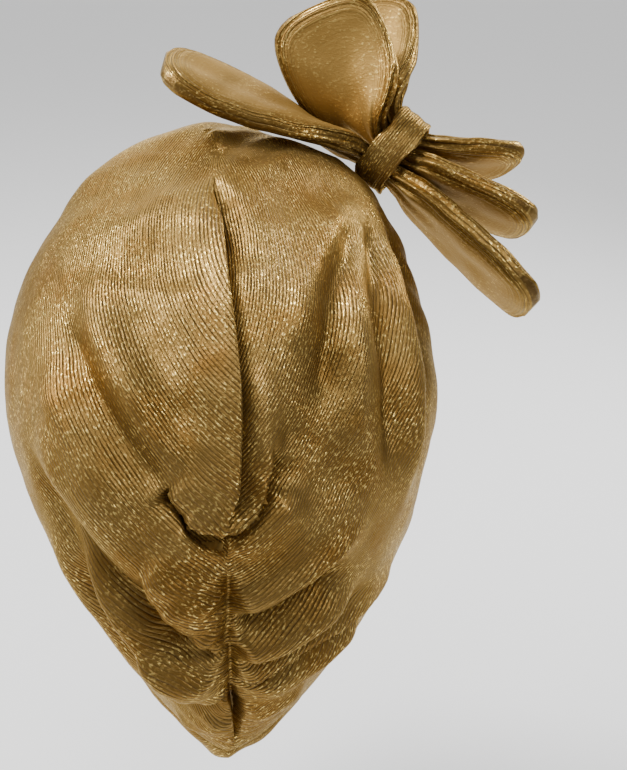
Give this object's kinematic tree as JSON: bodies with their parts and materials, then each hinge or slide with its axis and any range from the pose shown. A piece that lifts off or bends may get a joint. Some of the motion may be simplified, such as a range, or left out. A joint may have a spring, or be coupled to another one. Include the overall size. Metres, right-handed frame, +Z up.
{
  "type": "turban cap",
  "caption": "Ready-tied turban cap of crinkled gold cloth: a full gathered crown, open below for the head, with a puffed bow at the upper front of the right side.",
  "frame": {"origin": "middle of the head opening at ear height, where the cap sits on a head", "axes": "+Z up the wearer's head, -Y the way the wearer faces, +Y to the nape, -X to the wearer's right"},
  "size_m": [0.237, 0.2424, 0.3024],
  "materials": {
    "crown_cloth": "crinkle-pleated metallic cloth, half shiny",
    "hem_band_cloth": "crinkle-pleated metallic cloth, half shiny",
    "knot_band_cloth": "crinkle-pleated metallic cloth, half shiny",
    "bow_loop_left_lower_cloth": "crinkle-pleated metallic cloth, half shiny",
    "bow_loop_left_middle_cloth": "crinkle-pleated metallic cloth, half shiny",
    "bow_loop_left_upper_cloth": "crinkle-pleated metallic cloth, half shiny",
    "bow_loop_right_lower_cloth": "crinkle-pleated metallic cloth, half shiny",
    "bow_loop_right_middle_cloth": "crinkle-pleated metallic cloth, half shiny",
    "bow_loop_right_upper_cloth": "crinkle-pleated metallic cloth, half shiny"
  },
  "bodies": {
    "root": {"crown": "crown_cloth", "hem_band": "hem_band_cloth", "knot_band": "knot_band_cloth", "bow_loop_left_lower": "bow_loop_left_lower_cloth", "bow_loop_left_middle": "bow_loop_left_middle_cloth", "bow_loop_left_upper": "bow_loop_left_upper_cloth", "bow_loop_right_lower": "bow_loop_right_lower_cloth", "bow_loop_right_middle": "bow_loop_right_middle_cloth", "bow_loop_right_upper": "bow_loop_right_upper_cloth"}
  },
  "joints": []
}
